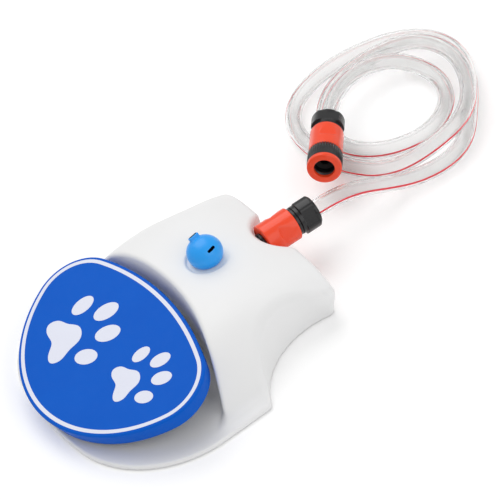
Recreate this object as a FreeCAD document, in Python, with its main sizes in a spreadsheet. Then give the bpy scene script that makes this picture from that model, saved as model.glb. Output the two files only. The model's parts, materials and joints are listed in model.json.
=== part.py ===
import FreeCAD, Part
import math
import os
from FreeCAD import Placement, Rotation, Vector

# A step-on water fountain for dogs: a low white base with a hinged pedal, a foot valve under the
# pedal, a turning nozzle on the hump, and a clear hose with a quick connector at each end.
# Millimetres. X is to the right, the pedal is at -Y, the hose leaves at +Y, and the floor is Z = 0.

doc = FreeCAD.newDocument("StepFountain")

SIZES = {
    # Housing
    "frontRadius": 400.0, "frontEdge": 142.0, "cornerRadius": 108.0, "cornerOffset": 42.0,
    "sideHalfWidth": 148.0, "sideReach": 26.0, "rearEdge": 147.3, "rearHalfWidth": 96.0,
    "shellBottom": 1.0, "platformTop": 5.5, "skin": 2.4, "platformSkin": 2.0,
    "humpHeight": 74.0, "humpHalfWidth": 137.0, "humpFrontLength": 150.0, "humpRearLength": 180.0,
    "humpCentre": 54.0, "humpSidePower": 5.0, "humpFrontPower": 2.6, "humpRearPower": 2.0,
    "prismTop": 90.0,
    "scallopX": 178.0, "scallopY": 117.0, "scallopRadius": 92.3, "scallopDraft": 0.142,
    "notchY": 159.0, "notchRadius": 34.0,
    "recessY": 231.5, "recessRadius": 253.0, "recessDraft": 0.06,
    "plateBottom": 1.2, "plateTop": 3.2, "plateGap": 0.4,
    "footRadius": 8.0, "screwHead": 3.2, "screwShank": 1.4, "screwTop": 13.0, "bossRadius": 4.0,
    # Pedal, in its own tilted plane
    "pedalTilt": 13.3, "pedalLevel": 26.2, "pedalOrigin": 141.0,
    "stripeFront": 130.0, "stripeRear": 280.0, "stripeCorner": 45.0,
    "stripeFrontCentre": 128.5, "stripeRearCentre": 125.0, "stripeHalf": 2.0, "pedalEdge": 5.5,
    "skirtDepth": 19.0, "skirtTaper": 3.0, "pedalWall": 2.6, "pedalRound": 2.2, "inlayDepth": 0.6,
    "frameTop": 5.6, "frameBottom": 8.2, "frameInset": 7.0,
    "hingeY": 121.0, "hingeZ": 13.0, "hingePin": 2.0, "hingeEar": 4.4, "hingeSpan": 36.0, "earWidth": 6.0,
    # Foot valve
    "valveY": 20.0, "towerRadius": 20.0, "towerTop": 24.0, "valveRadius": 13.0, "valveTop": 21.4,
    "plungerRadius": 3.6, "plungerHead": 8.0, "plungerTop": 43.6, "springRadius": 6.2, "springWire": 0.7,
    # Nozzle
    "nozzleY": 69.0, "nozzleSeat": 71.5, "nozzleRing": 21.5, "ballRadius": 18.2, "ballCentre": 9.8,
    "ballCrown": 15.8, "ballSide": 13.2, "ballWall": 2.2, "ballHub": 10.5, "hubBore": 7.95,
    "hubDepth": 9.6, "nozzleTurn": 11.7,
    "spoutReach": 11.0, "spoutRise": 16.6, "spoutLean": 30.0, "spoutWidth": 10.6, "spoutThick": 4.4,
    "spoutLength": 15.0, "slotLength": 9.0, "slotWidth": 2.8, "slotLean": 53.0, "slotTurn": 4.0,
    # Hose and quick connectors
    "hoseOuter": 9.0, "hoseInner": 6.5, "sleeveRadius": 17.6, "sleeveLength": 35.3, "nutRadius": 17.6,
    "collarRadius": 15.0, "coreRadius": 12.8, "inletZ": 49.6, "mouthY": 130.0,
    "nutFlat": 14.4, "nutStart": 43.4, "nutLength": 16.4, "rearNutTurn": 34.0, "freeNutTurn": 40.9,
    "tapRing": 17.9, "tapGrip": 18.2, "tapBore": 10.5, "gripStart": 19.2, "gripEnd": 0.8,
}

sheet = doc.addObject("Spreadsheet::Sheet", "Sizes")
for row, (alias, size) in enumerate(SIZES.items(), start=1):
    sheet.set(f"A{row}", alias)
    sheet.set(f"B{row}", str(size))
    sheet.setAlias(f"B{row}", alias)
doc.recompute()


def size(alias):
    """A driving dimension, read from the sheet."""
    return float(sheet.get(alias))


pieces = []


def keep(label, thing):
    """Names a finished sub-part."""
    thing.Label = label
    pieces.append(thing)
    return thing


def solid(label, shape, place=None):
    """A sub-part whose shape is built in code."""
    thing = doc.addObject("Part::Feature", label)
    thing.Shape = shape
    if place is not None:
        thing.Placement = place
    return keep(label, thing)


def turned(label, outside, bores=(), place=None, extra=()):
    """A round part: stacked cylinders and cones about Z, less its bores.

    Each step is (bottom radius, top radius, bottom, top), in expressions on the sheet.
    """
    def step(index, name, lower, upper, bottom, top):
        if lower == upper:
            thing = doc.addObject("Part::Cylinder", f"{label}_{name}{index}")
            thing.setExpression("Radius", lower)
        else:
            thing = doc.addObject("Part::Cone", f"{label}_{name}{index}")
            thing.setExpression("Radius1", lower)
            thing.setExpression("Radius2", upper)
        thing.setExpression("Height", f"({top}) - ({bottom})")
        thing.setExpression("Placement.Base.z", bottom)
        return thing

    solids = [step(i, "step", *part) for i, part in enumerate(outside)] + list(extra)
    result = solids[0]
    if len(solids) > 1:
        result = doc.addObject("Part::MultiFuse", f"{label}_body")
        result.Shapes = solids
        result.Refine = True
    if bores:
        holes = [step(i, "bore", *part) for i, part in enumerate(bores)]
        tool = holes[0]
        if len(holes) > 1:
            tool = doc.addObject("Part::MultiFuse", f"{label}_bores")
            tool.Shapes = holes
        cut = doc.addObject("Part::Cut", f"{label}_turned")
        cut.Base = result
        cut.Tool = tool
        result = cut
    if place is not None:
        result.Placement = place
    return keep(label, result)


def at(x, y, z):
    return Placement(Vector(x, y, z), Rotation())


def arc(start, middle, end):
    return Part.Arc(Vector(*start), Vector(*middle), Vector(*end)).toShape()


# Housing


def corner_centre():
    """The middle of the right front corner's arc, tangent to the front arc."""
    middle_y = size("frontRadius") - size("frontEdge")
    reach = size("frontRadius") - size("cornerRadius")
    x = size("cornerOffset")
    return x, middle_y - math.sqrt(reach**2 - x**2), middle_y


def footprint(inset, bottom, top):
    """The base's outline, drawn in by inset, as a prism. Scallops and notch are cut apart."""
    corner_x, corner_y, front_y = corner_centre()
    front = size("frontRadius") - inset
    corner = size("cornerRadius") - inset
    length = math.hypot(corner_x, front_y - corner_y)
    tangent = (corner_x / length, (corner_y - front_y) / length)
    join = (tangent[0] * front, front_y + tangent[1] * front)
    side = (corner_x + corner, corner_y)
    turn = math.radians(-30)
    bend = (corner_x + corner * math.cos(turn), corner_y + corner * math.sin(turn))
    tip = (size("sideHalfWidth") - inset, size("sideReach"))
    back = (size("rearHalfWidth") - inset, size("rearEdge") - inset)

    def p(point, mirror=1):
        return (mirror * point[0], point[1], bottom)

    edges = [arc(p(join, -1), (0, front_y - front, bottom), p(join))]
    edges.append(arc(p(join), p(bend), p(side)))
    corners = [side, tip, back, (-back[0], back[1]), (-tip[0], tip[1]), (-side[0], side[1])]
    for start, end in zip(corners, corners[1:]):
        edges.append(Part.LineSegment(Vector(*p(start)), Vector(*p(end))).toShape())
    edges.append(arc(p(side, -1), p(bend, -1), p(join, -1)))
    face = Part.Face(Part.Wire(edges))
    return face.extrude(Vector(0, 0, top - bottom))


def hump_level(x, y):
    """Height of the hump's crowned top over a point of the floor."""
    across = abs(x / size("humpHalfWidth")) ** size("humpSidePower")
    end = "Front" if y < size("humpCentre") else "Rear"
    along = abs((y - size("humpCentre")) / size(f"hump{end}Length")) ** size(f"hump{end}Power")
    return size("humpHeight") * (1 - across - along)


def under_hump(drop):
    """Everything below the hump's top, lowered by drop."""
    across = [-165 + 15 * i for i in range(23)]
    along = [-156 + 16 * i for i in range(21)]
    grid = [[Vector(x, y, hump_level(x, y) - drop) for y in along] for x in across]
    surface = Part.BSplineSurface()
    surface.interpolate(grid)
    return surface.toShape().extrude(Vector(0, 0, -400))


def side_cuts(outset, top):
    """The two side scallops and the rear notch."""
    radius = size("scallopRadius") + outset
    rise = size("scallopDraft") * top
    cuts = []
    for side in (-1, 1):
        centre = Vector(side * size("scallopX"), size("scallopY"), 0)
        cone = Part.makeCone(radius, radius + rise, top, centre)
        if side < 0:
            cone.rotate(centre, Vector(0, 0, 1), 180)
        cuts.append(cone)
    centre = Vector(0, size("notchY"), 0)
    notch = Part.makeCylinder(size("notchRadius") + outset, top, centre)
    notch.rotate(centre, Vector(0, 0, 1), 90)
    cuts.append(notch)
    return cuts


def recess(outset, bottom):
    """The space in front of the hump that the pedal moves in."""
    radius = size("recessRadius") + outset
    top = size("prismTop") + 40
    growth = size("recessDraft") * (top - bottom)
    return Part.makeCone(radius, radius + growth, top - bottom, Vector(0, -size("recessY"), bottom))


def housing(inset, floor, platform):
    """The base's outer form, or with an inset the space inside its skin."""
    top = size("prismTop")
    form = footprint(inset, floor, top).common(under_hump(inset * 1.1))
    form = form.cut(recess(inset, platform))
    slab = footprint(inset, floor, platform)
    form = form.fuse(slab)
    for cut in side_cuts(inset, top):
        form = form.cut(cut)
    return form.removeSplitter()


SCREWS = [(-118, 18), (118, 18), (-62, 118), (62, 118), (-34, 62), (34, 62)]
FEET = [(-85, -96), (85, -96), (-128, -8), (128, -8), (-68, 124), (68, 124)]


def rounded_housing():
    """The outer form with its rear corners, side tips, notch and the edge over the pedal rounded."""
    form = housing(0, size("shellBottom"), size("platformTop"))

    def upright(edge):
        box = edge.BoundBox
        return box.XLength < 9 and box.YLength < 9 and box.ZLength > 3

    def pick(test):
        return [edge for edge in form.Edges if test(edge, edge.CenterOfMass)]

    form = form.makeFillet(7, pick(lambda e, c: upright(e) and abs(c.x) > 60 and c.y > 100))
    form = form.makeFillet(3, pick(lambda e, c: upright(e) and abs(c.x) > 130 and c.y > 15))
    form = form.makeFillet(8, pick(lambda e, c: upright(e) and abs(c.x) < 50 and c.y > 100))
    return form.makeFillet(5, pick(lambda e, c: e.BoundBox.XLength > 200 and e.BoundBox.ZMax > 20))


def hinge_ear(x, bottom):
    """An ear that holds the hinge pin, standing on the platform."""
    width = size("earWidth")
    y, z, radius = -size("hingeY"), size("hingeZ"), size("hingeEar")
    start = Vector(x - width / 2, y, z)
    round_top = Part.makeCylinder(radius, width, start, Vector(1, 0, 0))
    foot = Part.makeBox(width, 2 * radius, z - bottom, Vector(x - width / 2, y - radius, bottom))
    hole = Part.makeCylinder(size("hingePin") + 0.05, width, start, Vector(1, 0, 0))
    return round_top.fuse(foot).cut(hole)


def body_shell():
    outer = rounded_housing()
    inner = housing(size("skin"), size("shellBottom") - 5, size("platformTop") - size("platformSkin"))
    shell = outer.cut(inner)
    valve = Vector(0, -size("valveY"), 0)
    nozzle = Vector(0, size("nozzleY"), 0)
    inlet = Vector(0, 120, size("inletZ"))
    back = Vector(0, 1, 0)
    inside = size("plateTop") + 0.1
    tower_top = size("towerTop")
    added = [
        Part.makeCylinder(size("towerRadius"), tower_top - 4, valve + Vector(0, 0, 4)),
        Part.makeBox(28, 38, 14, Vector(-14, -size("valveY"), 4)),
        Part.makeCylinder(size("nozzleRing") + 2, 6, nozzle + Vector(0, 0, size("nozzleSeat") - 6)),
        Part.makeCylinder(10, 7, inlet, back),
    ]
    for x, y in SCREWS:
        post = Part.makeCylinder(size("bossRadius"), 70, Vector(x, y, inside))
        added.append(post.common(outer))
    for side in (-1, 1):
        added.append(hinge_ear(side * size("hingeSpan"), size("platformTop") - 0.5))
    shell = shell.fuse(added)
    removed = [
        Part.makeCylinder(size("valveRadius") + 0.3, size("valveTop") + 0.3, valve),
        Part.makeBox(24.6, 52, 12.4, Vector(-12.3, -size("valveY"), inside)),
        Part.makeCylinder(size("plungerRadius") + 0.4, 40, valve),
        Part.makeCylinder(size("nozzleRing"), 30, nozzle + Vector(0, 0, size("nozzleSeat"))),
        Part.makeCylinder(8.3, 40, nozzle + Vector(0, 0, 50)),
        Part.makeCylinder(8.3, 60, inlet - back * 6, back),
    ]
    for x, y in SCREWS:
        removed.append(Part.makeCylinder(size("screwShank") + 0.05, size("screwTop"), Vector(x, y, 0)))
    for cut in removed:
        shell = shell.cut(cut)
    return solid("body_shell", shell)


def base_plate():
    """The bottom cover, set inside the shell's rim."""
    gap = size("skin") + size("plateGap")
    bottom, top = size("plateBottom"), size("plateTop")
    plate = footprint(gap, bottom, top)
    for cut in side_cuts(gap, 20):
        plate = plate.cut(cut)
    head = size("screwHead") + 0.1
    shank = size("screwShank") + 0.2
    for x, y in SCREWS:
        plate = plate.cut(Part.makeCone(head, shank, 1.9, Vector(x, y, bottom)))
        plate = plate.cut(Part.makeCylinder(shank, 10, Vector(x, y, 0)))
    return solid("base_plate", plate)


def group(label, things):
    """Identical pieces that share one node."""
    compound = doc.addObject("Part::Compound", f"{label}_group")
    compound.Links = things
    return keep(label, compound)


def bound(kind, name, place, **expressions):
    """A Part primitive whose sizes follow the sheet."""
    thing = doc.addObject(f"Part::{kind}", name)
    thing.Placement = place
    for prop, expression in expressions.items():
        thing.setExpression(prop, expression)
    return thing


def feet_and_screws():
    feet = []
    for i, (x, y) in enumerate(FEET):
        sizes = {"Radius": "Sizes.footRadius", "Height": "Sizes.plateBottom"}
        feet.append(bound("Cylinder", f"foot{i}", at(x, y, 0), **sizes))
    group("rubber_feet", feet)
    screws = []
    for i, (x, y) in enumerate(SCREWS):
        head = bound("Cone", f"screw_head{i}", at(x, y, size("plateBottom") + 0.1), Height="1.6",
                     Radius1="Sizes.screwHead", Radius2="Sizes.screwShank")
        shank = bound("Cylinder", f"screw_shank{i}", at(x, y, size("plateBottom") + 1.7),
                      Radius="Sizes.screwShank", Height="Sizes.screwTop - 4")
        screw = doc.addObject("Part::Fuse", f"screw{i}")
        screw.Base, screw.Tool = head, shank
        screws.append(screw)
    group("base_screws", screws)


# Pedal


def pedal_place():
    """The pedal's own plane: X across, Y up the slope, Z out of the tread."""
    tilt = Rotation(Vector(1, 0, 0), size("pedalTilt"))
    return Placement(Vector(0, -size("pedalOrigin"), size("pedalLevel")), tilt)


def pedal_wire(outset, level):
    """The stripe's middle line drawn outwards: front, rear and two corner arcs, all tangent."""
    front, rear = size("stripeFront") + outset, size("stripeRear") + outset
    corner = size("stripeCorner") + outset
    front_y, rear_y = size("stripeFrontCentre"), -size("stripeRearCentre")
    to_front, to_rear = front - corner, rear - corner
    apart = front_y - rear_y
    along = (to_rear**2 - to_front**2 + apart**2) / (2 * apart)
    y = rear_y + along
    x = math.sqrt(to_rear**2 - along**2)

    def beyond(centre_y, radius):
        length = math.hypot(x, y - centre_y)
        return (x / length * radius, centre_y + (y - centre_y) / length * radius)

    low, high = beyond(front_y, front), beyond(rear_y, rear)
    middle = math.hypot(low[0] + high[0] - 2 * x, low[1] + high[1] - 2 * y)
    bulge = (x + (low[0] + high[0] - 2 * x) / middle * corner,
             y + (low[1] + high[1] - 2 * y) / middle * corner)

    def p(point, mirror=1):
        return (mirror * point[0], point[1], level)

    return Part.Wire([
        arc(p(low, -1), (0, front_y - front, level), p(low)),
        arc(p(low), p(bulge), p(high)),
        arc(p(high), (0, rear_y + rear, level), p(high, -1)),
        arc(p(high, -1), p(bulge, -1), p(low, -1)),
    ])


def slab(wire, thickness):
    return Part.Face(wire).extrude(Vector(0, 0, thickness))


def ring(outset, half, level, thickness):
    outer = slab(pedal_wire(outset + half, level), thickness)
    return outer.cut(slab(pedal_wire(outset - half, level), thickness))


PAWS = [((-47.0, 63.3), 30.0, 1.0), ((53.2, 77.2), 31.0, 0.79)]
TOES = [((-32.5, 19.0), (8.9, 13.1), 24), ((-13.8, 44.0), (9.5, 14.1), 8),
        ((13.8, 44.0), (9.5, 14.1), -8), ((32.5, 19.0), (8.9, 13.1), -24)]
PAD = [(0, 16), (10, 12), (17, 1), (25, -9), (24, -20), (14, -22), (0, -17.5),
       (-14, -22), (-24, -20), (-25, -9), (-17, 1), (-10, 12)]


def paw_solids(level, thickness, shrink=0.0):
    """Two plain paw prints of four toes and a pad each, lying in the tread."""
    solids = []
    for (x, y), turn, scale in PAWS:
        faces = []
        for (toe_x, toe_y), (half_width, half_length), lean in TOES:
            major, minor = half_length * scale - shrink, half_width * scale - shrink
            toe = Part.Ellipse(Vector(0, 0, 0), major, minor).toShape()
            toe.rotate(Vector(0, 0, 0), Vector(0, 0, 1), 90 + lean)
            toe.translate(Vector(toe_x * scale, toe_y * scale, 0))
            faces.append(toe)
        curve = Part.BSplineCurve()
        reach = scale - shrink / 22
        curve.interpolate(Points=[Vector(a * reach, b * reach, 0) for a, b in PAD], PeriodicFlag=True)
        faces.append(curve.toShape())
        for edge in faces:
            pad = Part.Face(Part.Wire([edge])).extrude(Vector(0, 0, thickness))
            pad.rotate(Vector(0, 0, 0), Vector(0, 0, 1), -turn)
            pad.translate(Vector(x, y, level))
            solids.append(pad)
    return solids


PEDAL_POSTS = [(-88, 110), (88, 110), (0, 138), (-70, 40), (70, 40), (0, 70)]


def pedal_parts():
    place = pedal_place()
    edge, wall, depth = size("pedalEdge"), size("pedalWall"), size("skirtDepth")
    taper, inlay = size("skirtTaper"), size("inlayDepth")
    hinge = place.inverse().multVec(Vector(0, -size("hingeY"), size("hingeZ")))

    form = Part.makeLoft([pedal_wire(edge, 0), pedal_wire(edge - taper, -depth)], True, True)
    rim = [e for e in form.Edges if abs(e.BoundBox.ZMin) < 0.01 and abs(e.BoundBox.ZMax) < 0.01]
    form = form.makeFillet(size("pedalRound"), rim)
    slope = taper / depth
    inside = Part.makeLoft([pedal_wire(edge - wall - slope * wall, -wall),
                            pedal_wire(edge - wall - slope * (depth + 5), -depth - 5)], True, True)
    cover = form.cut(inside)
    for x, y in PEDAL_POSTS:
        post = Part.makeCylinder(4, size("frameTop") - wall + 0.5, Vector(x, y, -size("frameTop")))
        cover = cover.fuse(post)
        cover = cover.cut(Part.makeCylinder(1.2, 4, Vector(x, y, -size("frameTop"))))
    cover = cover.cut(ring(0, size("stripeHalf") + 0.03, -inlay, 5))
    for pad in paw_solids(-inlay, 5):
        cover = cover.cut(pad)
    solid("pedal_cover", cover, place)
    solid("pedal_border", ring(0, size("stripeHalf"), -inlay + 0.02, inlay + 0.1), place)
    paws = Part.makeCompound(paw_solids(-inlay + 0.02, inlay + 0.1, 0.04))
    solid("paw_prints", paws, place)

    top, bottom = -size("frameTop"), -size("frameBottom")
    frame = slab(pedal_wire(edge - size("frameInset"), bottom), top - bottom)
    width = size("earWidth")
    for side in (-1, 1):
        x = side * (size("hingeSpan") + width + 0.4)
        start = Vector(x - width / 2, hinge.y, hinge.z)
        radius = size("hingeEar")
        ear = Part.makeCylinder(radius, width, start, Vector(1, 0, 0))
        web = Part.makeBox(width, 2 * radius, bottom - hinge.z + 0.5,
                           Vector(x - width / 2, hinge.y - radius, hinge.z))
        frame = frame.fuse(ear.fuse(web))
        frame = frame.cut(Part.makeCylinder(size("hingePin") + 0.05, width, start, Vector(1, 0, 0)))
    for x in (-78, -30, 30, 78):
        frame = frame.fuse(Part.makeBox(2.4, 92, 3, Vector(x - 1.2, 26, bottom - 3)))
    for x, y in PEDAL_POSTS:
        frame = frame.cut(Part.makeCylinder(1.5, 40, Vector(x, y, -30)))
    solid("pedal_frame", frame, place)

    screws = []
    for x, y in PEDAL_POSTS:
        head = Part.makeCylinder(2.9, 1.6, Vector(x, y, bottom - 1.6))
        screws.append(head.fuse(Part.makeCylinder(1.15, 5.2, Vector(x, y, bottom))))
    solid("pedal_screws", Part.makeCompound(screws), place)

    pad_y = place.inverse().multVec(Vector(0, -size("valveY"), 46)).y
    above = Part.makeBox(40, 40, 30, Vector(-20, pad_y - 20, bottom))
    above.Placement = place
    pad_foot = Vector(0, -size("valveY"), size("plungerTop") + 0.3)
    solid("pusher_pad", Part.makeCylinder(7, 10, pad_foot).cut(above))

    pin = bound("Cylinder", "pin_rod", Placement(Vector(-47, -size("hingeY"), size("hingeZ")),
                                                 Rotation(Vector(0, 1, 0), 90)),
                Radius="Sizes.hingePin", Height="94")
    keep("hinge_pin", pin)


# Tubes that follow a route of straight runs and tangent arcs


def route_wire(points):
    """Straight runs joined by arcs as large as the runs allow, and the arcs' radii."""
    points = [Vector(*point) for point in points]
    edges, radii, start = [], [], points[0]
    for before, corner, after in zip(points, points[1:], points[2:]):
        back, ahead = (before - corner), (after - corner)
        trim = 0.45 * min(back.Length, ahead.Length)
        turn = math.pi - back.getAngle(ahead)
        radii.append(trim / math.tan(turn / 2))
        back.normalize()
        ahead.normalize()
        first, last = corner + back * trim, corner + ahead * trim
        inward = back + ahead
        inward.normalize()
        depth = radii[-1] / math.cos(turn / 2) - radii[-1]
        edges.append(Part.LineSegment(start, first).toShape())
        edges.append(Part.Arc(first, corner + inward * depth, last).toShape())
        start = last
    edges.append(Part.LineSegment(start, points[-1]).toShape())
    return Part.Wire(edges), radii


def pipe(points, outer, inner):
    wire, radii = route_wire([tuple(point) for point in points])
    first = Vector(*points[0])
    ahead = Vector(*points[1]) - first
    walls = []
    for radius in (outer, inner):
        circle = Part.Wire([Part.Circle(first, ahead, radius).toShape()])
        walls.append(wire.makePipeShell([circle], True, False))
    tube = walls[0].cut(walls[1])
    return tube, wire.Length, radii


# Foot valve and the water path inside


def spring(x, y, bottom, top, radius, wire, turns):
    """A compression spring standing on Z."""
    height = top - bottom - 2 * wire
    helix = Part.makeHelix(height / turns, height, radius)
    circle = Part.Circle(Vector(radius, 0, 0), Vector(0, 1, 0), wire)
    coil = Part.Wire(helix.Edges).makePipeShell([Part.Wire([circle.toShape()])], True, True)
    coil.translate(Vector(x, y, bottom + wire))
    return coil


def valve_parts():
    y = -size("valveY")
    place = at(0, y, 0)
    valve, stem = "Sizes.valveRadius", "Sizes.plungerRadius"
    head, top = "Sizes.plungerHead", "Sizes.plungerTop"
    turned("valve_body", [(valve, valve, "Sizes.plateTop + 0.1", "Sizes.valveTop")],
           [(f"{stem} + 0.1", f"{stem} + 0.1", "5.5", "18"), ("6.4", "6.4", "18", "Sizes.valveTop")], place)
    ports = []
    for side in (-1, 1):
        port = Part.makeCylinder(3.2, 12, Vector(side * 6.2, y + 10.8, 9.6), Vector(0, 1, 0))
        ports.append(port)
    barbs = Part.makeCompound([port.cut(Part.makeCylinder(size("valveRadius") + 0.05, 30, Vector(0, y, 0)))
                               for port in ports])
    solid("valve_ports", barbs)
    turned("plunger", [(stem, stem, "16", f"{top} - 4"), (head, head, f"{top} - 4", f"{top} - 1.6"),
                       (head, "3", f"{top} - 1.6", top)], (), place)
    seal = bound("Torus", "valve_seal_ring", at(0, y, 19.8), Radius1="Sizes.plungerRadius + 1.5",
                 Radius2="1.2")
    keep("valve_seal", seal)
    solid("valve_spring", spring(0, y, size("towerTop"), size("plungerTop") - 4.1,
                                 size("springRadius"), size("springWire"), 5))
    pair = [spring(side * 62, -34, size("platformTop"), 41.4, 6.5, 0.9, 7) for side in (-1, 1)]
    solid("return_springs", Part.makeCompound(pair))
    inlet = size("inletZ")
    nozzle = size("nozzleY")
    supply, _, _ = pipe([(-6.2, 3, 9.6), (-6.2, 22, 9.6), (-13, 42, 14), (-19, 60, 30),
                         (-12, 82, inlet - 5), (0, 92, inlet), (0, 106, inlet)], 4.6, 3.25)
    solid("supply_tube", supply)
    riser, _, _ = pipe([(6.2, 3, 9.6), (6.2, 24, 9.6), (6, nozzle - 25, 12), (2, nozzle - 7, 20),
                        (0, nozzle, 36), (0, nozzle, 49)], 4.6, 3.25)
    solid("riser_tube", riser)
    clips = []
    for x in (-6.2, 6.2):
        clip = Part.makeCylinder(5.8, 4, Vector(x, 5, 9.6), Vector(0, 1, 0))
        clips.append(clip.cut(Part.makeCylinder(4.7, 4, Vector(x, 5, 9.6), Vector(0, 1, 0))))
    solid("tube_clips", Part.makeCompound(clips))


def inlet_parts():
    """The inlet through the rear wall: nipple, washer and nut, about an axis along Y."""
    place = Placement(Vector(0, 0, size("inletZ")), Rotation(Vector(1, 0, 0), -90))
    turned("inlet_nipple", [
        ("3.15", "3.15", "100", "110"), ("11", "11", "110", "113.4"), ("8", "8", "113.4", "129.4"),
        ("8.2", "8.2", "129.4", "139"), ("6", "6", "139", "143"), ("7.8", "7.8", "143", "147.4"),
        ("6.9", "6", "147.4", "150")],
        [("2", "2", "100", "112"), ("4", "4", "112", "150")], place)
    turned("inlet_washer", [("11", "11", "113.5", "114.9")], [("8.1", "8.1", "113.5", "114.9")], place)
    turned("inlet_nut", [("10", "10", "127.1", "129.3")], [("8.05", "8.05", "127.1", "129.3")], place)


def nozzle_parts():
    y = size("nozzleY")
    seat = size("nozzleSeat")
    place = at(0, y, seat)
    turned("nozzle_socket", [("8", "8", "-21", "0"), ("11.6", "11.6", "0", "1.6"), ("6", "6", "1.6", "8"),
                             ("3.15", "3.15", "-30", "-21")],
           [("2.2", "2.2", "-30", "8")], place)
    turned("nozzle_nut", [("12", "12", "-10", "-6.2")], [("8.05", "8.05", "-10", "-6.2")], place)
    keep("nozzle_seal", bound("Torus", "nozzle_seal_ring", at(0, y, seat + 4.6), Radius1="6.95",
                              Radius2="0.9"))
    turn = Rotation(Vector(0, 0, 1), size("nozzleTurn"))
    solid("nozzle_cap", nozzle_ball(), Placement(Vector(0, y, seat + 0.4), turn))


def ball(radius, bottom):
    """A ball about the nozzle's centre, cut level at the bottom, its upper half a flatter oval."""
    centre, crown = size("ballCentre"), size("ballCrown") - size("ballRadius") + radius
    side = size("ballSide") - size("ballRadius") + radius
    top = ((radius - side) ** 2 + crown**2 - side**2) / (2 * (crown - side))
    lean = math.atan2(radius - side, top - crown)
    low = math.asin((centre - bottom) / radius)

    def on(middle_x, middle_z, reach, angle):
        return (middle_x + reach * math.cos(angle), 0, centre + middle_z + reach * math.sin(angle))

    foot = on(0, 0, radius, -low)
    waist = (radius, 0, centre)
    join = on(radius - side, 0, side, math.pi / 2 - lean)
    peak = (0, 0, centre + crown)
    edges = [
        Part.makeLine(Vector(0, 0, bottom), Vector(*foot)),
        arc(foot, on(0, 0, radius, -low / 2), waist),
        arc(waist, on(radius - side, 0, side, math.pi / 4 - lean / 2), join),
        arc(join, on(0, crown - top, top, math.pi / 2 - lean / 2), peak),
        Part.makeLine(Vector(*peak), Vector(0, 0, bottom)),
    ]
    return Part.Face(Part.Wire(edges)).revolve(Vector(0, 0, 0), Vector(0, 0, 1), 360)


def spout(thick, width, start, end):
    """A bar along the spout's axis, leaning away from the ball's upright axis."""
    bar = Part.makeBox(thick, width, end - start, Vector(-thick / 2, -width / 2, start))
    bar.rotate(Vector(0, 0, 0), Vector(0, 1, 0), -size("spoutLean"))
    bar.translate(Vector(-size("spoutReach"), 0, size("ballCentre") + size("spoutRise")))
    return bar


def ball_slot():
    """A round-ended slot through the ball's wall, across from the spout."""
    half, length = size("slotWidth") / 2, size("slotLength")
    reach = size("ballRadius") - 2 * size("ballWall")
    straight = length / 2 - half
    tool = Part.makeBox(2 * half, 2 * straight, 8, Vector(-half, -straight, reach))
    for end in (-straight, straight):
        tool = tool.fuse(Part.makeCylinder(half, 8, Vector(0, end, reach)))
    tool.rotate(Vector(0, 0, 0), Vector(0, 0, 1), size("slotTurn"))
    tool.rotate(Vector(0, 0, 0), Vector(0, 1, 0), size("slotLean"))
    tool.translate(Vector(0, 0, size("ballCentre")))
    return tool


def nozzle_ball():
    """The nozzle's turning ball, with a hub inside, a spout on its side and a slot."""
    radius, wall = size("ballRadius"), size("ballWall")
    tall = size("ballCentre") + radius
    core = ball(radius - 1, 1.6)
    hub = Part.makeCylinder(size("ballHub"), tall, Vector(0, 0, 1.6)).common(core)
    shell = ball(radius, 0).fuse(spout(size("spoutThick"), size("spoutWidth"), -size("spoutLength"), 0))
    shell = shell.cut(ball(radius - wall, 0))
    inner = spout(size("spoutThick"), size("spoutWidth"), -size("spoutLength"), 0).common(core)
    cap = shell.fuse([hub, inner])
    bores = [
        Part.makeCylinder(size("hubBore"), size("hubDepth"), Vector(0, 0, 0)),
        spout(size("spoutThick") - 2, size("spoutWidth") - 2.2, -12, 2),
        Part.makeCylinder(2.2, 9, Vector(0, 0, size("hubDepth") - 1)),
        Part.makeBox(6, 4, 3, Vector(-6, -2, size("hubDepth") + 3)),
        ball_slot(),
    ]
    for bore in bores:
        cap = cap.cut(bore)
    return cap


# Quick connectors, about their own Z from the mouth to the hose


def connector(prefix, place, nut_turn):
    sleeve, core, collar = "Sizes.sleeveRadius", "Sizes.coreRadius", "Sizes.collarRadius"
    length = "Sizes.sleeveLength"
    turned(f"{prefix}_sleeve",
           [(f"{sleeve} - 1.4", sleeve, "0", "1.8"), (sleeve, sleeve, "1.8", f"{length} - 0.6"),
            (sleeve, f"{sleeve} - 0.6", f"{length} - 0.6", length)],
           [("9.4", "9.4", "0", "1.6"), ("13.1", "13.1", "1.6", "30"),
            (f"{collar} + 0.4", f"{collar} + 0.4", "30", length)], place)
    turned(f"{prefix}_core",
           [(core, core, "6.2", "36.3"), (collar, collar, "36.3", "38.8"),
            (f"{core} + 0.1", f"{core} + 0.1", "38.8", "47.6"), ("6.2", "6.2", "47.6", "60")],
           [("8.7", "8.7", "6.2", "25"), ("10.3", "10.3", "9", "13"), ("4.6", "4.6", "25", "60")], place)
    turned(f"{prefix}_claws", [("10.2", "10.2", "9.1", "12.9")], [("8.3", "8.3", "9.1", "12.9")], place)
    start, nut_end = "Sizes.nutStart", "Sizes.nutStart + Sizes.nutLength"
    turned(f"{prefix}_nut",
           [(f"{collar} + 0.2", f"{collar} + 0.2", "39.6", start),
            ("16.2", "14.6", nut_end, f"{nut_end} + 1.8")],
           [("13.05", "13.05", "39.6", "52.6"), ("9.35", "9.35", "52.6", f"{nut_end} + 1.8")],
           place, (three_flats(prefix, nut_turn),))
    turned(f"{prefix}_collet", [("12.9", "12.9", "48.8", "52.4")],
           [("9.15", "9.15", "48.8", "52.4")], place)
    keep(f"{prefix}_seal", bound("Torus", f"{prefix}_seal_ring", place.multiply(at(0, 0, 22)),
                                 Radius1="7.5", Radius2="1.1"))


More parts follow.
